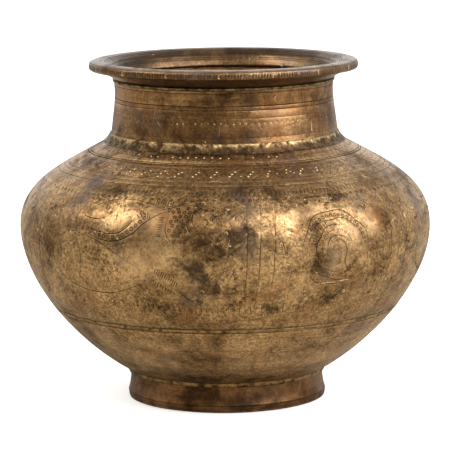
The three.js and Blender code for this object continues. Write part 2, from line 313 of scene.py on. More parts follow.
def spelter_brass(name, pale, brown, shine_from=0):
    """Brazing brass: pale yellow crests between brown and blackened pits, with green traces.
    Below the height shine_from, in mm, it is brown to dark brown: partly stained like the metal next
    to it, partly painted shade under the bead."""
    material, add = node_kit(name)
    place = add("TexCoord").outputs["Object"]
    level = add("SeparateXYZ", {0: place}).outputs["Z"]
    ragged = add("TexNoise", {"Vector": place, "Scale": 420, "Detail": 4}).outputs["Fac"]
    ragged = add("Math", {0: ragged, 1: 0.0032, 2: level}, operation="MULTIPLY_ADD").outputs[0]
    shine = add("MapRange", {"Value": ragged, "From Min": (shine_from + 1.2) * MM,
                             "From Max": (shine_from + 1.9) * MM}).outputs["Result"]
    drips = add("TexNoise", {"Vector": place, "Scale": 330, "Detail": 6, "Roughness": 0.7,
                             "Distortion": 0.6}).outputs["Fac"]
    base = ramp(add, drips, (0.36, (0.05, 0.03, 0.015)), (0.44, brown), (0.54, pale),
                (0.68, tuple(min(c * 1.2, 1) for c in pale)))
    dull_and_shaded = ramp(add, drips, (0.44, tuple(c * 0.35 for c in brown)), (0.56, brown))
    base = blended(add, shine, dull_and_shaded, base)
    traces = add("TexNoise", {"Vector": place, "Scale": 330, "Detail": 3,
                              "W": 4.0}, noise_dimensions="4D").outputs["Fac"]
    base = blended(add, ramp(add, traces, (0.62, 0.0), (0.70, 0.5)), base, (0.17, 0.17, 0.08))
    bump = add("Bump", {"Height": drips, "Strength": 0.5, "Distance": 0.0005}).outputs["Normal"]
    rough = ramp(add, drips, (0.4, 0.62), (0.6, 0.36))
    shader = add("BsdfPrincipled", {"Base Color": base, "Roughness": rough, "Metallic": 1.0,
                                    "Normal": bump})
    add("OutputMaterial", {"Surface": shader.outputs["BSDF"]})
    return material


filed_spelter = spelter_brass("filed_spelter", (0.36, 0.225, 0.095), (0.14, 0.076, 0.032))

foot_bead = softened([
    (31.9, 8.5, 0.02), (35.25, 10.0, 0.02), (35.3, 9.2, 0.1), (36.0, 9.55, 0.4),
    (36.55, 11.0, 0.15), (35.2, 10.3, 0.02), (31.9, 8.8, 0.02),
], step=0.5)
turned_ring("foot_braze_bead", foot_bead, 480, "foot_braze", filed_spelter,
            lumpy(0.06, 11))

# ------------------------------------------------------------------------------ lower bowl
# The bottom of the body: a turned bowl, left plain but for lathe rings, knocks and scratches.
# Its skin is triangulated round every cut, so that each cut is a real V with its own floor.

belly_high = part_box("upper_body")[1]
bowl_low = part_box("lower_bowl")[0]
belly_radius = belly_high.x / MM
shoulder_height = belly_high.z / MM
belly_height = 63.8
body_wall = 2.2
mouth_edge_radius = 39.1
foot_radius, foot_height = 35.2, 10.35
underside_height = bowl_low.z / MM
seam_height, seam_film = 35.0, 1.0


def belly_sweep(end_radius, end_height, rise, lean, drop, count=400):
    """One sweep of the belly as a cubic curve: it leaves the widest circle upright, rises by a
    share of the climb, and comes into its end along a slope set by lean and drop."""
    run, climb = belly_radius - end_radius, end_height - belly_height
    handles = np.array([
        (belly_radius, belly_height),
        (belly_radius, belly_height + rise * climb),
        (end_radius + lean * run, end_height - drop * climb),
        (end_radius, end_height),
    ])
    t = np.linspace(0, 1, count)[:, None]
    weights = [(1 - t) ** 3, 3 * t * (1 - t) ** 2, 3 * t ** 2 * (1 - t), t ** 3]
    return sum(weight * handle for weight, handle in zip(weights, handles))


shoulder_sweep = belly_sweep(mouth_edge_radius, shoulder_height, 0.5444, 0.4508, 0.3152)
bowl_sweep = belly_sweep(foot_radius, foot_height, 0.3178, 0.5983, 0.2455)


def set_in(path, depth):
    """The path moved square to itself by depth mm, to the left of the way it runs."""
    run = np.gradient(path, axis=0)
    run /= np.linalg.norm(run, axis=1, keepdims=True)
    moved = path + depth * np.stack([-run[:, 1], run[:, 0]], axis=1)
    moved[:, 0] = np.maximum(moved[:, 0], 0)
    return moved


def thinned(path, count):
    """count points spread evenly by length along a path, ends included."""
    length = np.append(0, np.cumsum(np.linalg.norm(np.diff(path, axis=0), axis=1)))
    at = np.linspace(0, length[-1], count)
    return np.stack([np.interp(at, length, path[:, k]) for k in (0, 1)], axis=1)


STRIDE = 10000                 # a cell's key is its column times this, plus its row


class Skin:
    """The outside of one casting, as a strip unrolled by angle and by length along its outline,
    with the cuts that an engraver's point and punches leave in it."""

    def __init__(self, outline):
        self.length = np.append(0, np.cumsum(np.linalg.norm(np.diff(outline, axis=0), axis=1)))
        self.outline = outline
        self.edges = []        # chains of (angle, along) points that must become mesh edges
        self.slopes = []       # (angle, along) x 2, half widths x 2, steepness, bright or not
        self.rings = []        # (along, width, depth) of cuts that run right round
        self.stains_and_painted_light = []       # (angle, along, half width, half height, strength)
        self.last_angle = math.radians(179.8)

    def radius(self, along):
        return np.interp(along, self.length, self.outline[:, 0])

    def height(self, along):
        return np.interp(along, self.length, self.outline[:, 1])

    def along(self, height):
        """Length along the outline at which it reaches a height."""
        return float(np.interp(height, self.outline[:, 1], self.length))

    def laid(self, place, points):
        """Moves points in mm, right and up of a place (angle, along, turn, scale), on to the
        skin: turned and scaled, then the distance to the right is bent round the pot."""
        angle, along, *more = place
        turn, scale = (*more, *(0, 1)[len(more):])
        c, s = math.cos(math.radians(turn)), math.sin(math.radians(turn))
        x = (points[:, 0] * c - points[:, 1] * s) * scale
        y = (points[:, 0] * s + points[:, 1] * c) * abs(scale)
        y = along + y
        return np.stack([math.radians(angle) + x / self.radius(y), y], axis=1)

    def cut(self, place, points, width=0.40, depth=0.16, closed=False, bright=False):
        """One V-shaped stroke through the points, rounded into a smooth curve. Its half width
        grows from nothing at the ends, and its floor lies under the middle line."""
        path = flowing(np.array(points, float), closed)
        count = len(path)
        if closed:
            run = np.roll(path, -1, axis=0) - np.roll(path, 1, axis=0)
            half = np.full(count, width / 2)
        else:
            run = np.gradient(path, axis=0)
            half = width / 2 * np.sin(np.linspace(0, np.pi, count)) ** 0.45
            half[[0, -1]] = 0
        run /= np.linalg.norm(run, axis=1, keepdims=True) + 1e-9
        side = np.stack([-run[:, 1], run[:, 0]], axis=1) * half[:, None]
        middle = self.laid(place, path)
        left, right = self.laid(place, path + side), self.laid(place, path - side)
        if max(np.abs(left[:, 0]).max(), np.abs(right[:, 0]).max()) > self.last_angle:
            return
        for chain in (left, middle, right):
            self.edges.append(np.vstack([chain, chain[:1]]) if closed else chain)
        ends = np.vstack([middle, middle[:1]]) if closed else middle
        half = np.append(half, half[:1]) if closed else half
        half = half * (place[3] if len(place) > 3 else 1)
        steep = np.full((len(ends) - 1, 1), depth / (width / 2))
        self.slopes.append(np.hstack([ends[:-1], ends[1:], half[:-1, None], half[1:, None],
                                      steep, np.full_like(steep, bright)]))

    def punch(self, place, x, y, size=0.42, depth=0.20, bright=False, sides=6):
        """One round pit: a ring of corners with its floor under the middle."""
        turn = np.linspace(0, 2 * np.pi, sides + 1)
        ring = np.stack([x + size * np.cos(turn), y + size * np.sin(turn)], axis=1)
        ring = self.laid(place, ring)
        if np.abs(ring[:, 0]).max() > self.last_angle:
            return
        self.edges.append(ring)
        middle = self.laid(place, np.array([[x, y]]))
        self.edges.append(middle)
        size = size * (place[3] if len(place) > 3 else 1)
        self.slopes.append(np.array([[*middle[0], *middle[0], size, size,
                                      depth / size, bright]]))

    def ringlet(self, place, x, y, size=0.60, width=0.30, depth=0.13):
        """A ring punch: a circle of V-cut round an untouched middle."""
        turn = np.linspace(0, 2 * np.pi, 7, endpoint=False)
        ring = np.stack([x + size * np.cos(turn), y + size * np.sin(turn)], axis=1)
        self.cut(place, ring, width, depth, closed=True)

    def depth(self, spots, bright):
        """How deep the cuts are at (angle, along) spots: steepness times how far inside the
        nearest stroke's edge a spot lies. Strokes and spots meet through a grid of 1.5 mm cells."""
        slopes = np.vstack(self.slopes) if self.slopes else np.zeros((0, 8))
        slopes = slopes[slopes[:, 7] == bright]
        deepest = np.zeros(len(spots))
        if len(slopes) == 0:
            return deepest
        cell = 1.5
        around = self.outline[:, 0].max()
        reach = slopes[:, 4:6].max(axis=1) * 1.8 + 0.05
        low = np.minimum(slopes[:, 0:2], slopes[:, 2:4]) * [around, 1] - reach[:, None]
        high = np.maximum(slopes[:, 0:2], slopes[:, 2:4]) * [around, 1] + reach[:, None]
        low_cell, high_cell = np.floor(low / cell).astype(int), np.floor(high / cell).astype(int)
        keys, owners = [], []
        spread = (high_cell - low_cell).max(axis=0) + 1
        for i in range(spread[0]):
            for j in range(spread[1]):
                inside = (low_cell + [i, j] <= high_cell).all(axis=1)
                keys.append((low_cell[inside, 0] + i) * STRIDE + low_cell[inside, 1] + j)
                owners.append(np.nonzero(inside)[0])
        keys, owners = np.concatenate(keys), np.concatenate(owners)
        order = np.argsort(keys, kind="stable")
        keys, owners = keys[order], owners[order]
        spot_cell = np.floor(spots * [around, 1] / cell).astype(int)
        spot_key = spot_cell[:, 0] * STRIDE + spot_cell[:, 1]
        first, last = np.searchsorted(keys, spot_key), np.searchsorted(keys, spot_key, "right")
        many = last - first
        spot = np.repeat(np.arange(len(spots)), many)
        start = np.repeat(first - np.append(0, np.cumsum(many)[:-1]), many)
        stroke = slopes[owners[start + np.arange(len(spot))]]
        shrink = np.stack([self.radius(spots[spot, 1]), np.ones(len(spot))], axis=1)
        a, b, p = stroke[:, 0:2] * shrink, stroke[:, 2:4] * shrink, spots[spot] * shrink
        length = ((b - a) ** 2).sum(axis=1)
        share = np.clip(((p - a) * (b - a)).sum(axis=1) / np.maximum(length, 1e-12), 0, 1)
        away = np.linalg.norm(p - a - (b - a) * share[:, None], axis=1)
        half = stroke[:, 4] + (stroke[:, 5] - stroke[:, 4]) * share
        np.maximum.at(deepest, spot, np.maximum(half - away, 0) * stroke[:, 6])
        return deepest


def soft_spots(skin, spots):
    """The stain value at (angle, along) spots: bells of the given half sizes in mm, added up.
    Above nought darkens: tarnish, and at some bells painted shade. Below nought lightens: rubbed
    metal, and at some bells painted highlights and painted light."""
    total = np.zeros(len(spots))
    for angle, along, wide, tall, strength in skin.stains_and_painted_light:
        x = (spots[:, 0] - math.radians(angle)) * skin.radius(spots[:, 1]) / wide
        y = (spots[:, 1] - along) / tall
        total += strength * np.exp(-0.8 * (x ** 2 + y ** 2))
    return np.clip(total, -1, 1)


def worn_by(angle, along):
    """How much of a cut is left after years of scouring, from under half to all of it: slow waves
    over the skin."""
    waves = np.sin(3 * angle + along / 7) + np.sin(7 * angle - along / 4.6 + 1) \
        + np.sin(16 * angle + along / 3.1 + 2)
    return np.clip(0.80 + 0.22 * waves, 0.45, 1)


def flowing(points, closed, step=0.8):
    """A smooth path through the given points: each stretch is the Catmull-Rom cubic of the four
    points round it."""
    if closed:
        return points
    if len(points) < 3:
        return points[0] + (points[1] - points[0]) * np.linspace(0, 1, 5)[:, None]
    ends = np.vstack([2 * points[0] - points[1], points, 2 * points[-1] - points[-2]])
    pieces = []
    for a, b, c, d in zip(ends[:-3], ends[1:-2], ends[2:-1], ends[3:]):
        count = max(int(round(np.linalg.norm(c - b) / step)), 2)
        t = np.linspace(0, 1, count, endpoint=False)[:, None]
        pieces.append(0.5 * (2 * b + (c - a) * t + (2 * a - 5 * b + 4 * c - d) * t ** 2
                             + (3 * b - a - 3 * c + d) * t ** 3))
    return np.vstack([*pieces, points[-1:]])


def casting(name, skin, over, under, stands_for, material, columns=200, step=2.4):
    """A closed casting. Its skin is a constrained Delaunay net over the unrolled strip, whose
    two sides are joined; over and under are the rest of its outline, past the skin's top edge
    and past its bottom edge, as rings of points that either meet or end on the axis."""
    around, total = skin.outline[:, 0].max(), skin.length[-1]
    angles = np.linspace(-np.pi, np.pi, columns + 1)
    rows = np.linspace(0, total, max(int(round(total / step)), 1) + 1)
    ring_rows = [along + half for along, width, _ in skin.rings
                 for half in (-width / 2, 0, width / 2)]
    clear = [np.all([abs(row - along) > width + 0.3 for along, width, _ in skin.rings])
             for row in rows[1:-1]]
    rows = np.concatenate([rows[:1], rows[1:-1][np.array(clear, bool)], rows[-1:], ring_rows])
    rows = np.sort(rows)
    grid = np.stack(np.meshgrid(angles, rows, indexing="ij"), axis=-1)
    inner = grid[1:-1, 1:-1].reshape(-1, 2)
    border = np.vstack([grid[0], grid[-1], grid[1:-1, 0], grid[1:-1, -1]])
    if skin.edges:
        crowded = 0.7          # mm cells: a grid point in one with a cut in it is left out
        taken = np.floor(np.vstack(skin.edges) * [around, 1] / crowded).astype(int)
        taken = np.unique(taken[:, 0] * STRIDE + taken[:, 1])
        here = np.floor(inner * [around, 1] / crowded).astype(int)
        on_ring = np.isin(np.round(inner[:, 1], 6), np.round(ring_rows, 6))
        inner = inner[on_ring | ~np.isin(here[:, 0] * STRIDE + here[:, 1], taken)]
    chains = [np.stack([angles, np.full_like(angles, row)], axis=1) for row in ring_rows]
    chains += skin.edges
    links, start = [], len(inner) + len(border)
    for chain in chains:
        index = np.arange(start, start + len(chain))
        links.append(np.stack([index[:-1], index[1:]], axis=1))
        start += len(chain)
    net = np.vstack([inner, border, *chains]) * [around, 1]
    links = np.vstack(links).tolist() if links else []
    spots, _, faces, *_ = delaunay_2d_cdt([tuple(p) for p in net], links, [], 0, 1e-4, False)
    spots = np.array([tuple(p) for p in spots]) / [around, 1]
    faces = np.array(faces)

    cut = skin.depth(spots, False) * worn_by(spots[:, 0], spots[:, 1])
    for along, width, depth in skin.rings:
        cut = np.maximum(cut, depth * (1 - np.abs(spots[:, 1] - along) / (width / 2)))
    scratch_and_painted_glint = skin.depth(spots, True)
    sunk = np.maximum(cut, scratch_and_painted_glint)
    sunk[(spots[:, 1] < 1e-3) | (spots[:, 1] > total - 1e-3)] = 0
    slope = np.gradient(skin.outline, axis=0)
    slope /= np.linalg.norm(slope, axis=1, keepdims=True)
    out_r = np.interp(spots[:, 1], skin.length, slope[:, 1])
    out_z = np.interp(spots[:, 1], skin.length, -slope[:, 0])
    radius = skin.radius(spots[:, 1]) - sunk * out_r
    height = skin.height(spots[:, 1]) - sunk * out_z
    points = [on_pot(spots[:, 0], radius, height)]

    seam_left = np.nonzero(np.abs(spots[:, 0] + np.pi) < 1e-5)[0]
    seam_right = np.nonzero(np.abs(spots[:, 0] - np.pi) < 1e-5)[0]
    weld = np.arange(len(spots))
    weld[seam_right[np.argsort(spots[seam_right, 1])]] = \
        seam_left[np.argsort(spots[seam_left, 1])]
    a, b, c = (spots[faces[:, k]] for k in range(3))
    turn = (b[:, 0] - a[:, 0]) * (c[:, 1] - a[:, 1]) - (c[:, 0] - a[:, 0]) * (b[:, 1] - a[:, 1])
    faces = np.where(turn[:, None] < 0, faces[:, ::-1], faces)
    in_cut = (sunk[faces] > 1e-4).any(axis=1)
    faces = weld[faces]
    all_faces, flat = faces.tolist(), [in_cut]

    def edge_loop(along):
        on_edge = np.nonzero(np.abs(spots[:, 1] - along) < 1e-3)[0]
        on_edge = on_edge[spots[on_edge, 0] < np.pi - 1e-5]
        return on_edge[np.argsort(spots[on_edge, 0])]

    count = len(spots)

    def carry(loop, outline, inward):
        nonlocal count
        for radius_mm, height_mm in outline:
            if radius_mm < 0.01:
                points.append(np.array([[0, 0, height_mm * MM]]))
                fan = [[loop[k], loop[(k + 1) % columns], count] for k in range(columns)]
                all_faces.extend(fan if inward else [f[::-1] for f in fan])
                flat.append(np.zeros(columns, bool))
                count += 1
                return None
            points.append(on_pot(angles[:-1], np.float64(radius_mm), np.float64(height_mm)))
            ring = np.arange(count, count + columns)
            join(loop, ring, inward)
            loop, count = ring, count + columns
        return loop

    def join(first, second, inward):
        quads = np.stack([first, np.roll(first, -1), np.roll(second, -1), second], axis=1)
        all_faces.extend((quads if inward else quads[:, ::-1]).tolist())
        flat.append(np.zeros(columns, bool))

    top, bottom = edge_loop(total), edge_loop(0)
    last = carry(top, over, True)
    if under is None:
        join(last, bottom, True)
    else:
        carry(bottom, under, False)
    points = np.vstack(points)
    used = np.unique(np.concatenate([faces.ravel(), np.arange(len(spots), len(points))]))
    renumber = np.zeros(len(points), int)
    renumber[used] = np.arange(len(used))
    all_faces = [renumber[f].tolist() for f in map(np.array, all_faces)]
    rest = np.zeros(len(points) - len(spots))
    values = {"groove": np.minimum(np.append(cut, rest) / 0.12, 1)[used],
              "scratch_and_painted_glint": np.minimum(np.append(scratch_and_painted_glint, rest) / 0.05, 1)[used],
              "stain_and_painted_light": np.append(soft_spots(skin, spots), rest)[used]}
    return finished(name, points[used], all_faces, stands_for, material,
                    np.concatenate(flat), values)


def scratches(skin, count, longest, low, high):
    """Random knocks and scratches: short bright strokes in any direction."""
    for _ in range(count):
        place = (rng.uniform(-174, 174), rng.uniform(low, high), rng.uniform(-90, 90))
        length = rng.uniform(0.8, longest)
        bend = rng.uniform(-0.05, 0.05) * length
        skin.cut(place, [(-length / 2, 0), (0, bend), (length / 2, 0)],
                 width=rng.uniform(0.10, 0.20), depth=0.05, bright=True)


body_brass = aged_brass("body_brass", (0.47, 0.295, 0.135), (0.275, 0.162, 0.070),
                        (0.125, 0.070, 0.030), 0.46, grain=0.72)

bowl_edge = seam_height - seam_film / 2
bowl_up = bowl_sweep[::-1]
bowl_skin = Skin(bowl_up[bowl_up[:, 1] <= bowl_edge])
for height, width, depth in ((34.2, 0.34, 0.12), (30.2, 0.25, 0.02), (26.4, 0.3, 0.02),
                             (17.5, 0.3, 0.03), (13.6, 0.3, 0.04)):
    bowl_skin.rings.append((bowl_skin.along(height), width, depth))
scratches(bowl_skin, 60, 7, 4, 32)
for _ in range(140):
    bowl_skin.punch((rng.uniform(-174, 174), rng.uniform(3, 33)), 0, 0,
                    size=rng.uniform(0.15, 0.4), depth=0.08, sides=5)

# Bells on the bowl, each repeated three times round: dark ones in a band just above the foot and a
# few higher up, small light ones of rubbed metal, and a broad light one at the left front that is
# painted light, brightening that side of the bowl.
for angle, height, wide, tall, strength in (
    (-45, 14, 9, 3, 0.8), (-20, 14, 10, 2.5, 0.7), (10, 13, 14, 2.5, 0.8),
    (-38, 26, 7, 3, 0.4), (-10, 23, 9, 3, 0.35), (28, 28, 8, 3, 0.4),
    (45, 15, 8, 3, 0.6), (5, 28, 9, 2.5, -0.2), (-25, 19, 8, 3, -0.2),
    (-35, 23, 40, 9, -0.35),
):
    for repeat in (0, 119, -121):
        place = (angle + repeat, bowl_skin.along(height))
        bowl_skin.stains_and_painted_light.append((*place, wide, tall, strength))

lap_top, lap_depth = seam_height + 2.9, body_wall / 2 + 0.05
inside = set_in(bowl_up, body_wall)
lip = set_in(bowl_up, lap_depth)
slope_at_foot = bowl_up[1] - bowl_up[0]
turn_radius = foot_radius - (foot_height - underside_height) * slope_at_foot[0] / slope_at_foot[1]
t = np.linspace(0, 1, 60)[:, None]
underside = (1 - t) ** 2 * np.array([foot_radius, foot_height]) \
    + 2 * t * (1 - t) * np.array([turn_radius, underside_height]) \
    + t ** 2 * np.array([0, underside_height])
floor_inside = set_in(underside[::-1], body_wall)[::-1]
on_lip = (lip[:, 1] > bowl_edge) & (lip[:, 1] < lap_top)
bowl_over = np.vstack([
    thinned(lip[on_lip], 3),
    thinned(inside[inside[:, 1] < lap_top][::-1], 22),
    thinned(floor_inside[3:-1], 12),
    [[0, underside_height + body_wall]],
])
casting("lower_bowl_turned", bowl_skin, bowl_over, thinned(underside, 14)[1:],
        "lower_bowl", body_brass)

# -------------------------------------------------------------------------- body seam braze
# The seam that joins bowl and upper body: a thin golden line of spelter, filed nearly flush.

seam_path = bowl_up[(bowl_up[:, 1] > bowl_edge + 0.04) & (bowl_up[:, 1] < bowl_edge + 0.96)]
seam_path = thinned(seam_path, 5)
seam_outline = np.vstack([set_in(seam_path, -0.06), set_in(seam_path, body_wall / 2 - 0.05)[::-1]])
turned_ring("body_seam_braze_line", seam_outline, 480, "body_seam_braze",
            filed_spelter, lumpy(0.008, 12))

# ------------------------------------------------------------------------------ upper body
# Shoulder and belly in one shell, engraved all over: rows of punch marks round the shoulder,
# then panels with fish and medallions between borders of short strokes.

body_path = np.vstack([
    bowl_up[bowl_up[:, 1] > seam_height + seam_film / 2], shoulder_sweep[1:],
])
body = Skin(body_path)
seam_along = body.along(seam_height + seam_film / 2)


def up(above_seam):
    """Length along the body's skin at a distance above the seam."""
    return seam_along + above_seam


def row_round(count, draw):
    """Calls draw(angle, k) at count even angles round the pot, clear of the joined edge."""
    for k, angle in enumerate(np.linspace(-180, 180, count, endpoint=False) + 180 / count):
        draw(angle, k)


def shoulder_rows():
    """Turned lines, a row of bright punches, a zigzag of punched threes and two rows of small dark
    pits. The punches are painted bright at front and back, as the lamps' highlights in their pits,
    and left plain between."""
    for along, width, depth in ((70.4, 0.42, 0.15), (71.3, 0.36, 0.10), (68.4, 0.3, 0.03),
                                (62.2, 0.3, 0.04), (60.4, 0.3, 0.03), (58.0, 0.34, 0.05),
                                (0.3, 0.34, 0.12)):
        body.rings.append((up(along), width, depth))
    row_round(100, lambda angle, k: body.punch(
        (angle, up(74.6)), 0, rng.normal(0, 0.12), size=rng.uniform(0.32, 0.46), depth=0.22,
        bright=math.cos(math.radians(2 * angle + 14)) + rng.uniform(-0.7, 0.7) > 0.3))

    def threes(angle, k):
        place = (angle, up(64.9), rng.normal(0, 4))
        for x, y in ((-1.5, -1.35), (-0.5, 0.0), (0.55, 1.25)):
            body.punch(place, x + rng.normal(0, 0.12), y + rng.normal(0, 0.12),
                       size=rng.uniform(0.34, 0.50), depth=0.22,
                       bright=math.cos(math.radians(2 * angle)) + rng.uniform(-0.9, 0.9) > 0)
        for x, y in ((1.6, 0.2), (2.5, -0.9)):
            body.punch(place, x, y, size=0.32, depth=0.16, bright=rng.random() < 0.2)
        body.cut(place, [(-2.3, 1.6), (-1.6, 0.9), (-1.5, 0.1)], 0.34, 0.13)

    row_round(54, threes)
    for count, along in ((130, 67.3), (110, 62.8)):
        row_round(count, lambda angle, k: body.punch(
            (angle, up(along)), 0, rng.normal(0, 0.35), size=rng.uniform(0.26, 0.42), depth=0.18,
            sides=5))


def border_rows():
    """Short strokes: leaning ones under the plain band, a row of ring punches under them, and runs
    of single upright ticks over the lower lines.
    """
    row_round(262, lambda angle, k: body.cut(
        (angle, up(54.6), rng.normal(-12, 6)), [(0, -2.0), (0.2, 0), (0, 1.9)], 0.34, 0.10))
    row_round(168, lambda angle, k: body.ringlet((angle, up(51.2)), 0, rng.normal(0, 0.15), 0.5))

    def ticks(angle, k):
        left = math.sin(math.radians(3 * angle + 110)) + rng.uniform(-0.4, 0.4)
        if left > 0.1:
            place = (angle, up(9.6), rng.normal(4, 6), rng.uniform(0.85, 1.1))
            body.cut(place, [(0.1, -2.0), (-0.1, 0), (0, 2.1)], 0.30, 0.08)

    row_round(230, ticks)


def beads(place, path, gap, size):
    """Ring punches spaced along a curve through the given points."""
    curve = flowing(np.array(path, float), False, step=0.2)
    count = int(np.linalg.norm(np.diff(curve, axis=0), axis=1).sum() / gap)
    for x, y in thinned(curve, count + 1):
        body.ringlet(place, x, y, size)


def comb(place, start, end, count, tooth):
    """count parallel strokes from start to end, each reaching by the tooth vector."""
    for share in np.linspace(0, 1, count):
        x = start[0] + (end[0] - start[0]) * share
        y = start[1] + (end[1] - start[1]) * share
        reach = rng.uniform(0.85, 1.1)
        body.cut(place, [(x, y), (x + tooth[0] * reach, y + tooth[1] * reach)], 0.34, 0.11)


def great_fish(place):
    """The large fish: long jaw, ringed eye, a collar of ring punches under the belly line, and
    a scaled hind part with a comb of fin rays."""
    fine, strong = 0.34, 0.46
    body.cut(place, [(-21, 0.4), (-18, -0.2), (-15.2, -0.4), (-12.5, 0.1), (-10.9, 0.9)], strong)
    body.cut(place, [(-20.4, -0.2), (-20.5, -2.6)], fine)
    belly = [(-20, -2.9), (-16.5, -4.1), (-12.7, -4.9), (-9.3, -5.3), (-5.6, -4.9),
             (-3.2, -3.6), (-1.4, -1.9), (0.0, 0.4), (0.4, 1.8)]
    body.cut(place, belly, strong, 0.2)
    keel = [(-18.6, -5.6), (-13.5, -7.2), (-8.5, -7.9), (-4, -7.0), (0.8, -4.4), (3.7, -1.2),
            (6.2, 0.9), (9.7, 3.4), (13, 4.0)]
    body.cut(place, keel, strong, 0.2)
    beads(place, [(-18.5, -4.3), (-13, -6.0), (-8.5, -6.6), (-4.4, -5.9), (-1.2, -4.0),
                  (1.6, -1.4), (4.0, 1.2)], 1.85, 0.62)
    body.cut(place, [(-21, 0.9), (-18.5, 3.2), (-15.5, 5.6), (-11.5, 7.4), (-6, 8.6),
                     (0, 8.3), (6, 6.8), (9.9, 4.9)], fine)
    body.ringlet(place, -11.6, 4.3, 0.85)
    body.punch(place, -11.6, 4.3, 0.26)
    body.ringlet(place, -9.7, 2.4, 0.5)
    body.cut(place, [(-7.3, 3.2), (-6.8, 1.0), (-7.1, -0.8)], fine)
    body.cut(place, [(-5.0, 5.6), (-4.5, 3.8), (-4.9, 2.6)], fine)
    beads(place, [(-9, 7.0), (-6.4, 5.2), (-3.6, 6.4), (-0.8, 7.2), (2.0, 6.2)], 1.5, 0.45)
    comb(place, (0.9, 5.6), (5.2, 3.2), 6, (1.3, -3.4))
    comb(place, (0.6, 2.8), (3.4, 4.9), 4, (2.0, -2.4))
    comb(place, (5.6, 6.4), (12.4, 6.2), 9, (0.1, 3.2))
    body.cut(place, [(9.9, 5.0), (12.5, 5.6), (15.2, 6.8), (17.9, 8.3), (21.5, 9.3)], strong)
    comb(place, (9.0, 1.6), (9.0, -5.2), 12, (3.0, 0.1))
    comb(place, (9.6, -5.8), (12.6, -8.0), 5, (1.9, 1.6))
    body.cut(place, [(13.0, 3.2), (12.4, 0.5), (12.5, -3), (14.0, -6), (17.5, -8.6)], fine)
    for row, y in enumerate(np.arange(-6.6, 7.0, 1.75)):
        shift = 0.95 * (row % 2)
        left = 13.9 + max(-y - 4, 0) * 0.8
        for x in np.arange(left + shift, 20.4, 1.9):
            if y < 3.6 + (x - 13) * 0.5:
                body.ringlet(place, x + rng.normal(0, 0.1), y + rng.normal(0, 0.1), 0.55, 0.34, 0.17)
    body.cut(place, [(21.2, 6.8), (20.9, 4.2), (21.0, 1.2), (22.4, -1.8)], strong)
    body.cut(place, [(24.3, 1.3), (26.2, 1.0), (26.9, -0.5), (25.6, -1.9)], strong, 0.2)
    for x, y, turn in ((23.5, 6.8, 25), (26.5, 5.6, 5), (29.2, 3.4, -20), (30.2, 0.2, -50)):
        leaf((place[0] + math.degrees(x / 70), place[1] + y, turn, 0.9))


def leaf(place):
    """A pointed leaf with slanting veins."""
    body.cut(place, [(-2.6, 0), (-0.6, 1.2), (2.8, 0)], 0.32, 0.11)
    body.cut(place, [(-2.6, 0), (-0.6, -1.2), (2.8, 0)], 0.32, 0.11)
    for x in (-1.2, -0.2, 0.8):
        body.cut(place, [(x, 0.1), (x + 0.7, 0.65)], 0.24, 0.08)
        body.cut(place, [(x, -0.1), (x + 0.7, -0.65)], 0.24, 0.08)


def round_fish(place):
    """The lower fish, half worn away: a blunt head with a pit for an eye, ringed scales, and a
    slanting comb of tail rays."""
    body.cut(place, [(-17.5, 10), (-21.4, 6.5), (-22.6, 1.5), (-21.0, -4), (-15, -8.6),
                     (-5, -10.6), (6, -9.6), (15, -5.8), (21.5, -3.2)], 0.38, 0.12)
    body.cut(place, [(-17.5, 10), (-9, 10.2), (1, 8.4), (11, 4.2), (19.5, 0.2)], 0.34, 0.09)
    body.punch(place, -13.8, 2.2, 0.5, 0.2)
    body.cut(place, [(-9.2, 8.4), (-7.6, 3), (-8.0, -3), (-10.0, -7.8)], 0.32, 0.09)
    for row, y in enumerate(np.arange(-8.0, 8.0, 2.0)):
        for x in np.arange(-6.2 + (row % 2), 13.5, 2.1):
            if abs(y + 0.9 + x * 0.05) < 8.2 - max(x, 0) * 0.42 and rng.random() < 0.62:
                body.ringlet(place, x + rng.normal(0, 0.25), y + rng.normal(0, 0.2),
                             rng.uniform(0.4, 0.58), 0.26, 0.07)
    comb(place, (22.6, -0.2), (29.8, -4.4), 12, (1.5, 2.8))
    comb(place, (21.8, -3.6), (27.4, -7.4), 8, (0.9, 1.9))
    body.cut(place, [(30.6, -5.2), (32.4, -7.4), (34.2, -9.2), (36.0, -10.6)], 0.40, 0.15)


def foliage():
    """Sprays of short veins and curls that fill the field between the big figures."""
    for angle, along, turn in (
        (-9, 47.0, 20), (-4, 46.0, 35), (1, 47.5, 28), (4, 43.5, 60), (-14, 49.4, 8),
        (17, 49.2, -20), (24, 49.5, 12), (31, 48.8, -14), (44, 46.5, -40), (50, 40.5, -62),
        (49, 20.0, -70), (44, 13.5, 20), (31, 14.2, -10), (22, 14.0, 30), (16, 22.5, 75),
        (16, 32.5, 100), (1, 24.5, 50), (-4, 29.0, 140), (-9, 14.5, 25), (-22, 13.6, -12),
        (-34, 11.8, 14), (-48, 12.6, -30), (-49, 47.5, 30), (-40, 50.4, -8), (-56, 36.5, 55),
        (0, 11.0, 60), (6, 16.0, 20), (-3, 36.0, 15), (58, 30.0, 80), (60, 45.0, 20),
    ):
        for repeat in (0, 120, -120):
            place = (angle + repeat + rng.normal(0, 0.6), up(along), turn + rng.normal(0, 10))
            for k, x in enumerate(np.linspace(-2.6, 2.6, 7)):
                tall = 1.5 - 0.16 * abs(k - 3)
                body.cut(place, [(x, -0.2), (x + 0.5, tall * 0.5), (x + 0.7, tall)], 0.28, 0.09)
            body.cut(place, [(-3.2, -0.3), (0, -0.7), (3.2, -0.2)], 0.32, 0.11)
            for _ in range(3):
                body.ringlet(place, rng.normal(0, 2.0), -1.9 + rng.normal(0, 0.5), 0.5)
            body.cut(place, [(3.0, 1.4), (4.0, 1.8), (4.3, 0.9), (3.6, 0.6)], 0.28, 0.1,
                     bright=rng.random() < 0.5)


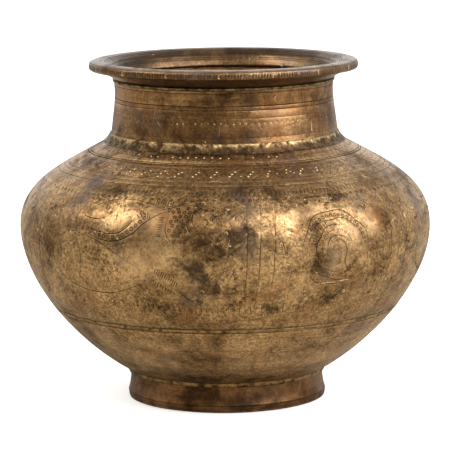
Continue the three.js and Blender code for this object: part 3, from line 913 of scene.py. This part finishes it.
def medallion(place):
    """A rosette worn to a few parts: wavering rings, a chain of dots, rays on its left, scales
    on its right, a swirl, and a clump of bright punches at the heart."""

    def arc(radius, start, end, width=0.36, depth=0.13, waver=0.25):
        turn = np.radians(np.linspace(start, end, max(int(radius * (end - start) / 55), 5)))
        far = radius + waver * (np.sin(turn * 3 + radius) + np.sin(turn * 7 + 2 * radius))
        body.cut(place, np.stack([far * np.cos(turn), far * np.sin(turn)], 1), width, depth)

    arc(15.2, -68, 205, 0.34, 0.12, 0.4)
    arc(14.6, 215, 292, 0.40, 0.17, 0.4)
    arc(12.2, -35, 172, 0.32, 0.11, 0.35)
    arc(12.0, 190, 300, 0.38, 0.16, 0.4)
    arc(9.3, 62, 345, 0.36, 0.14, 0.3)
    for turn in np.radians(np.arange(18, 196, 8)):
        body.punch(place, 6.9 * math.cos(turn), 0.6 + 6.9 * math.sin(turn), 0.30, 0.2, sides=5)
    for turn in np.radians(np.arange(112, 262, 6)):
        c, s = math.cos(turn), math.sin(turn)
        body.cut(place, [(9.6 * c, 9.6 * s), (12.0 * c, 12.0 * s)], 0.32, 0.11)
    for turn in np.radians(np.arange(-42, 100, 8)):
        for far in (10.4, 13.4):
            body.ringlet(place, far * math.cos(turn + far), far * math.sin(turn + far), 0.62)
    for turn in np.radians(np.arange(262, 318, 7)):
        c, s = math.cos(turn), math.sin(turn)
        body.cut(place, [(9.8 * c, 9.8 * s), (11.4 * c - 0.8 * s, 11.4 * s + 0.8 * c)], 0.32, 0.1)
    body.cut(place, [(-1.6, 2.5), (0.8, 3.6), (3.4, 2.2), (4.4, -1.2), (3.6, -5.0), (5.4, -8.6),
                     (9.0, -10.8)], 0.42, 0.16)
    body.cut(place, [(-4.6, -1.0), (-4.0, 2.8), (-1.4, 5.0), (2.6, 4.8), (5.6, 2.0)], 0.36, 0.13)
    body.cut(place, [(-7.0, -5.0), (-3.6, -6.6), (0.2, -6.2), (2.2, -3.6)], 0.36, 0.13)
    for x in np.arange(-5.6, 4.4, 1.25):
        for y in np.arange(-4.2, 2.6, 1.3):
            if rng.random() < 0.5:
                body.punch(place, x + rng.normal(0, 0.2), y + rng.normal(0, 0.2),
                           rng.uniform(0.2, 0.34), 0.16, bright=rng.random() < 0.35, sides=5)


def panel_band(angle):
    """Three nearly upright lines with small marks between the outer two."""
    for top, foot in ((-4.0, -5.0), (0.0, -2.0), (4.0, 1.7)):
        tall = [(share, up(9 + 41.2 * share)) for share in np.linspace(0, 1, 9)]
        points = [(angle + foot + (top - foot) * share + rng.normal(0, 0.12), along)
                  for share, along in tall]
        path = flowing(np.array(points), False, step=3)
        flat_path = np.stack([np.radians(path[:, 0]) * body.radius(path[:, 1]), path[:, 1]], 1)
        body.cut((0, 0), flat_path, 0.32, 0.10)
    for along in np.arange(13, 48, 3.4):
        place = (angle + 0.9 - 0.9 * (50 - along) / 41, up(along))
        body.cut(place, [(-0.9, -0.7), (0, 0.5), (0.9, -0.7)], 0.26, 0.08)


def matt_ground(count):
    """Fine stippling over the field, thick in drifts and thin between them."""
    made = 0
    while made < count:
        angle, along = rng.uniform(-178, 178), rng.uniform(3, 52)
        drift = math.sin(math.radians(angle) * 7 + along / 5) + math.sin(along / 3.1 + angle / 9)
        if drift + rng.uniform(-2.0, 2.0) > 0.1:
            body.punch((angle, up(along)), 0, 0, rng.uniform(0.18, 0.34), 0.10, sides=4,
                       bright=rng.random() < 0.09)
            made += 1


def tarnish():
    """Patches: dark tarnish round the panels and in the middle; light ones on the belly left and
    right of the front, which are painted highlights where the soft boxes reflect, and partly rubbed
    metal. The unseen back gets the same kinds of patches."""
    for angle, along, wide, tall, strength in (
        (-32, 34, 4, 2.5, 1.0), (-35, 53, 6, 2.5, 0.8), (-24, 53, 4.5, 2.5, 0.8),
        (-6, 37, 6, 3.5, 0.8), (1, 35, 6, 4, 1.0), (7, 38, 5, 3, 0.8),
        (-8, 25, 4.5, 5, 0.9), (-13, 27, 3.5, 3, 0.7), (-3, 18, 4.5, 3.5, 0.7),
        (20, 36, 3.5, 3.5, 0.7), (30, 42, 6.5, 2, 0.7), (38, 50, 9, 2.5, 0.75),
        (22, 26, 4, 3, 0.6), (36, 21, 2.5, 3.5, 0.5), (30, 12, 3.5, 3.5, 0.9),
        (13, 9, 4, 3, 0.85), (25, 33, 2.5, 2.5, 0.45), (44, 29, 1.5, 2.5, 0.8),
        (48, 30, 2.5, 9, 0.6), (3, 48, 4, 3, 0.6), (17, 46, 4.5, 2.5, 0.6),
        (-46, 36, 5, 4, 0.5), (-56, 28, 4, 7, 0.4), (-20, 13, 7, 3, 0.5),
        (60, 22, 5, 8, 0.5), (-3, 66, 8, 3, 0.5), (8, 56, 9, 2, 0.7),
        (-35, 77, 8, 2.5, 1.5), (-13, 77, 9, 2, 0.9), (4, 77, 6, 2, 1.1),
        (22, 77, 9, 2.5, 1.5), (-60, 66, 12, 3, 0.45), (-4, 30, 7, 5, 0.5),
        (3, 21, 7, 5, 0.4), (28, 32, 3, 2, -0.5), (32, 25, 3, 2, -0.5),
        (32, 28, 3.5, 3, -0.8), (37, 35, 5, 5, -0.6),
        (22, 17, 5, 4, -0.4), (-22, 28, 7, 4, -0.3), (32, 20, 4, 3, -0.3),
        (-28, 42, 9, 3.5, -0.6), (-19, 42, 4.5, 4.5, -0.8), (24, 45, 8, 2.5, -0.9),
        (18, 41, 4, 4.5, -0.55), (44, 37, 3, 6, -0.7), (-25, 25, 7, 6, -0.7),
        (-16, 32, 6, 5, -0.9), (34, 34, 3.5, 5, -0.5), (12, 24, 4, 5, -0.4),
        (-20, 28, 7, 5, -0.5), (26, 22, 5, 5, -0.35), (40, 26, 4, 5, -0.35),
    ):
        for repeat in (0, 121, -118):
            body.stains_and_painted_light.append((angle + repeat, up(along), wide, tall, strength))


shoulder_rows()
border_rows()
for repeat in (0, 120, -120):
    great_fish((-26 + repeat, up(42), 0))
    round_fish((-37 + repeat, up(25.2), -4, 1.0))
    medallion((31 + repeat, up(30.9), 0, 0.9))
    panel_band(10.1 + repeat)
    panel_band(55.5 + repeat)
foliage()
matt_ground(3400)
tarnish()
scratches(body, 150, 6, up(3), up(72))
for angle, along, length, turn in ((-14.5, 30, 4.6, 4), (28, 18.6, 9, 2), (34, 19.0, 5, 1),
                                   (28, 12, 1.6, 80), (-54, 22.5, 7, -62), (10.5, 49, 2.6, -45)):
    body.cut((angle, up(along), turn), [(-length / 2, 0), (0, 0.15), (length / 2, 0)],
             0.28, 0.08, bright=True)

body_inside = set_in(body_path, body_wall)[::-1]
above_lap = body_inside[body_inside[:, 1] > lap_top + 0.1]
lap_face = set_in(body_path, body_wall / 2 - 0.05)
lap_face = lap_face[lap_face[:, 1] < lap_top + 0.1][::-1]
body_over = np.vstack([thinned(above_lap, 22), thinned(lap_face, 3)])
casting("upper_body_engraved", body, body_over, None, "upper_body",
        body_brass, columns=190, step=3.0)

# ------------------------------------------------------------------------------ neck braze
# The thick bead where the neck stands on the shoulder: spelter laid on by hand, lumpy, left
# proud and rubbed bright.

neck_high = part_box("neck_collar")[1]
neck_bead = softened([
    (39.2, shoulder_height + 0.06, 0.02), (41.63, 95.88, 0.1), (44.15, 94.4, 0.12),
    (43.3, 95.15, 0.6), (42.2, 96.35, 0.6), (41.75, 97.6, 0.25), (41.36, 97.8, 0.1),
    (41.62, 96.16, 0.04),
    (39.2, 97.74, 0.02),
], step=0.4)
# Below 96.9 mm the bead is brown to dark brown: partly stain, partly painted shade under the bead.
spelter = spelter_brass("spelter", (0.47, 0.335, 0.160), (0.17, 0.100, 0.046), 96.9)
turned_ring("neck_braze_bead", neck_bead, 720, "neck_braze", spelter,
            lumpy(0.11, 13))

# ----------------------------------------------------------------------------- neck collar
# A short waisted collar, turned, with paired lathe lines and a row of punched dots.

neck_wall, neck_top = 2.5, neck_high.z / MM
neck_points = np.array([(41.6, 96.2), (41.15, 98.8), (40.62, 103), (40.08, 107), (39.74, 111),
                        (39.72, 114), (40.0, neck_top)])
neck_path = flowing(neck_points, False, step=0.1)
neck = Skin(neck_path)
for height, width, depth in ((110.6, 0.36, 0.11), (109.2, 0.32, 0.08), (106.4, 0.3, 0.04),
                             (99.6, 0.3, 0.03), (115.2, 0.3, 0.05)):
    neck.rings.append((neck.along(height), width, depth))
# Punched dots, painted bright at front and back as the lamps' highlights in their pits.
row_round(112, lambda angle, k: neck.punch(
    (angle, neck.along(104.7)), 0, rng.normal(0, 0.10), size=rng.uniform(0.22, 0.42),
    depth=0.18, bright=math.cos(math.radians(2 * angle - 6)) + rng.uniform(-0.6, 0.6) > 0.45))
scratches(neck, 34, 5, 2, 18)
for angle, height, points in ((-22, 112.4, [(-1.8, -1.9), (2.0, 2.0)]),
                              (-11, 113.6, [(-0.9, -0.9), (0.9, 1.0)]),
                              (27, 113.4, [(-1.6, -1.2), (1.5, 1.4)]),
                              (-10, 110.9, [(-4.5, 0.05), (4.5, -0.05)])):
    neck.cut((angle, neck.along(height)), points, 0.16, 0.05, bright=True)
for angle, height, wide, tall, strength in (
    (17, 113.5, 6, 3.0, 0.8), (-32, 105.5, 2.2, 4.0, 0.8), (-1, 98.8, 5, 1.8, 0.8),
    (12, 101.5, 4, 4.0, 0.7), (0, 111.5, 7, 4.0, 0.5), (-48, 102.0, 4, 6.0, 0.6),
    (40, 101.0, 5, 4.0, 0.5), (-14, 106.0, 4, 4.0, 0.35), (60, 109.0, 3, 6.0, 0.5),
    (29, 107.0, 5, 5.0, -0.5), (-36, 110.0, 4, 4.0, -0.3), (0, 102.0, 5, 3.0, -0.3),
):
    for repeat in (0, 118, -122):
        neck.stains_and_painted_light.append((angle + repeat, neck.along(height), wide, tall, strength))
neck_over = thinned(neck_path - [neck_wall, 0], 14)[::-1]
neck_over[-1] = (mouth_edge_radius, shoulder_height + 0.4)
casting("neck_collar_turned", neck, neck_over, None, "neck_collar",
        browned_brass, columns=220, step=1.6)

# ------------------------------------------------------------------------------- rim braze
# A film of spelter under the rim, green and brown where water has sat in the joint.

rim_low, rim_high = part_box("rim_ring")
film_low, film_high = neck_top + 0.05, rim_low.z / MM - 0.05
damp_spelter = spelter_brass("damp_spelter", (0.24, 0.185, 0.095), (0.10, 0.070, 0.036))
turned_ring("rim_braze_film", softened([
    (37.5, film_low, 0.02), (40.03, film_low, 0.02), (39.99, film_low - 0.7, 0.02),
    (40.25, film_low - 0.5, 0.06), (40.4, film_low + 0.08, 0.05), (40.02, film_high, 0.02),
    (37.5, film_high, 0.02),
], step=0.3), 600, "rim_braze", damp_spelter, lumpy(0.035, 14))

# -------------------------------------------------------------------------------- rim ring
# The rim: a broad flat ring with an upright lip, notched all round with a small chisel, and a
# funnel inside that runs down to the throat. Handling has dulled it to a grey brown.

rim_brass = aged_brass("rim_brass", (0.28, 0.173, 0.087), (0.140, 0.082, 0.040),
                       (0.060, 0.036, 0.022), 0.40, grain=0.5, mottle=0.25)

rim_radius, crest_radius = rim_high.x / MM, 45.3
rim_top, lip_foot = rim_high.z / MM, rim_high.z / MM - 3.4
bore_radius, rim_seat = 37.5, rim_low.z / MM


def curve(*handles, count=24):
    """A Bezier curve of any order: each step blends neighbouring handles by the share t."""
    level = [np.array(handle, float)[None, :] for handle in handles]
    t = np.linspace(0, 1, count)[:, None]
    while len(level) > 1:
        level = [(1 - t) * a + t * b for a, b in zip(level[:-1], level[1:])]
    return level[0]


cove = curve((40.0, rim_seat), (41.8, lip_foot - 1.0), (rim_radius - 0.6, lip_foot))
lip_side = curve((rim_radius - 0.6, lip_foot), (rim_radius + 0.25, lip_foot + 0.2),
                 (rim_radius + 0.15, lip_foot + 1.6), (rim_radius - 0.15, rim_top - 0.9))
crest = curve((rim_radius - 0.15, rim_top - 0.9), (rim_radius - 0.6, rim_top - 0.15),
              (crest_radius + 1.2, rim_top - 0.12), (crest_radius, rim_top))
funnel = curve((crest_radius, rim_top), (crest_radius - 1.0, rim_top),
               (40.0, rim_top - 0.4), (bore_radius, rim_seat), count=16)
rim = Skin(np.vstack([cove, lip_side[1:], crest[1:], funnel[1:]]))
lip_at = Skin(np.vstack([cove, lip_side[1:]])).along(lip_foot + 1.45)
crest_at = Skin(np.vstack([cove, lip_side[1:], crest[1:]])).length[-1]


def notches(angle, k):
    """Upright chisel notches in groups, with a curled mark between groups."""
    place = (angle, lip_at, rng.normal(0, 6))
    if k % 9 < 7:
        tall = rng.uniform(0.8, 1.25)
        rim.cut(place, [(0, -tall), (0.04, 0), (0, tall)], 0.30, 0.12)
    elif k % 9 == 7:
        rim.cut(place, [(0.5, 0.8), (-0.2, 0.6), (-0.3, -0.4), (0.6, -0.8)], 0.30, 0.12,
                bright=k % 2 == 0)


row_round(288, notches)
rim.rings.append((lip_at + 1.5, 0.3, 0.06))
for past_crest, width, depth in ((0.6, 0.3, 0.03), (2.4, 0.34, 0.06), (3.3, 0.3, 0.04),
                                 (5.2, 0.4, 0.05), (6.9, 0.3, 0.05), (7.6, 0.34, 0.04)):
    rim.rings.append((crest_at + past_crest, width, depth))
scratches(rim, 60, 3, 2, rim.length[-1] - 1)
# Bells on the rim: the dark ones over the funnel are partly tarnish and partly painted shade that
# dims the lamps' reflections inside the mouth, most at the left back. The light bell deep in the
# funnel at 155 degrees is a painted highlight near the throat, and the thin light bell along the
# front of the crest is a painted highlight on its edge. The others are patches on the crest and the
# lip band.
for angle, past_crest, wide, tall, strength in (
    (180, 4.5, 40, 4.0, 0.7), (140, 3.0, 16, 3.0, 0.8), (-135, 5.0, 34, 5.0, 1.0),
    (-90, 4.0, 16, 4.0, 0.7), (90, 4.0, 14, 3.0, 0.6), (155, 8.0, 12, 1.8, -0.8),
    (0, 4.0, 30, 3.5, 0.4), (-75, -2.0, 12, 3.0, 0.6), (-30, -5.6, 9, 1.4, 0.5),
    (20, -5.8, 12, 1.4, 0.4), (60, -5.4, 8, 1.4, -0.3), (-25, -3.1, 40, 0.5, -0.8),
):
    rim.stains_and_painted_light.append((angle, crest_at + past_crest, wide, tall, strength))
# Painted light: the whole cove under the lip is lightened with two broad light bells, as if the
# floor lit it from below.
on_cove = 2.5
rim.stains_and_painted_light += [(0, on_cove, 90, 3.5, -0.7), (180, on_cove, 90, 3.5, -0.5)]
nothing_over = np.zeros((0, 2))    # the skin goes right down to the seat again
casting("rim_ring_turned", rim, nothing_over, None,
        "rim_ring", rim_brass, columns=288, step=1.3)

# --------------------------------------------------------------------- floor, light, camera
# A plain pale floor, three soft boxes, and a room that is bright behind the pot and dim and
# warm on the viewer's side, so that the metal has something dark to mirror. Floor and backdrop
# look brighter to the viewer than the metal sees them.

floor_mesh = bpy.data.meshes.new("floor")
reach = 9.0
floor_mesh.from_pydata([(-reach, -reach, -0.0001), (reach, -reach, -0.0001),
                        (reach, reach, -0.0001), (-reach, reach, -0.0001)], [], [(0, 1, 2, 3)])
floor_paint, add = node_kit("floor_paint")
grain = add("TexNoise", {"Vector": add("TexCoord").outputs["Object"], "Scale": 3.0})
shade = ramp(add, grain.outputs["Fac"], (0.3, 0.90), (0.7, 0.93))
seen = add("LightPath").outputs["Is Camera Ray"]
shade = blended(add, seen, (0.51, 0.48, 0.41), shade)
glow = add("Math", {0: seen, 1: 0.43, 2: 0.15}, operation="MULTIPLY_ADD").outputs[0]
paint = add("BsdfPrincipled", {"Base Color": shade, "Roughness": 0.9, "Emission Color": shade,
                               "Emission Strength": glow})
under = add("NewGeometry").outputs["Backfacing"]
clear_below = add("MixShader", {0: under, 1: paint.outputs[0],
                                2: add("BsdfTransparent").outputs[0]})
add("OutputMaterial", {"Surface": clear_below.outputs[0]})
floor_mesh.materials.append(floor_paint)
floor = bpy.data.objects.new("floor", floor_mesh)
bpy.context.collection.objects.link(floor)


def soft_box(name, place, size, power, tint):
    """A square area light that faces the middle of the pot."""
    light = bpy.data.lights.new(name, "AREA")
    light.shape, light.size, light.energy, light.color = "SQUARE", size, power, tint
    lamp = bpy.data.objects.new(name, light)
    lamp.location = place
    away = lamp.location - Vector((0, 0, 0.06))
    lamp.rotation_euler = away.to_track_quat("Z", "Y").to_euler()
    bpy.context.collection.objects.link(lamp)


soft_box("left_box", (-1.15, -0.15, 1.25), 1.0, 11.7, (1.0, 0.97, 0.90))
soft_box("right_box", (1.05, -0.55, 0.95), 1.4, 24, (1.0, 1.0, 1.06))
soft_box("front_box", (0.15, -1.5, 1.5), 1.3, 10, (1.0, 0.95, 0.85))

world = bpy.data.worlds.new("studio")
bpy.context.scene.world = world
world.use_nodes = True
nodes, links = world.node_tree.nodes, world.node_tree.links
toward = nodes.new("ShaderNodeSeparateXYZ")
links.new(nodes.new("ShaderNodeTexCoord").outputs["Generated"], toward.inputs[0])
room = nodes.new("ShaderNodeCombineColor")
for channel, dim in (("Red", 0.25), ("Green", 0.235), ("Blue", 0.19)):
    both = nodes.new("ShaderNodeMath")
    for slot, limits in enumerate(((-0.9, 0.4, dim, 0.70), (0.72, 1, 0, 1.1))):
        part = nodes.new("ShaderNodeMapRange")
        links.new(toward.outputs["Y"], part.inputs["Value"])
        for key, value in zip(("From Min", "From Max", "To Min", "To Max"), limits):
            part.inputs[key].default_value = value
        links.new(part.outputs["Result"], both.inputs[slot])
    links.new(both.outputs[0], room.inputs[channel])
backdrop = nodes.new("ShaderNodeMixRGB")
backdrop.inputs["Color2"].default_value = (1.2, 1.2, 1.2, 1)
links.new(nodes.new("ShaderNodeLightPath").outputs["Is Camera Ray"], backdrop.inputs["Fac"])
links.new(room.outputs[0], backdrop.inputs["Color1"])
links.new(backdrop.outputs["Color"], nodes["Background"].inputs["Color"])

camera = bpy.data.cameras.new("camera")
camera.lens, camera.sensor_width = 223.9, 36
camera.shift_y = 0.0016
viewer = bpy.data.objects.new("camera", camera)
viewer.location = (-0.0001, -1.0149, 0.2188)
tilt_down, lean = 0.1529, 0.0102
viewer.rotation_euler = (Matrix.Rotation(math.pi / 2 - tilt_down, 3, "X")
                         @ Matrix.Rotation(-lean, 3, "Z")).to_euler()
bpy.context.collection.objects.link(viewer)
bpy.context.scene.camera = viewer
bpy.context.scene.view_settings.view_transform = "Standard"
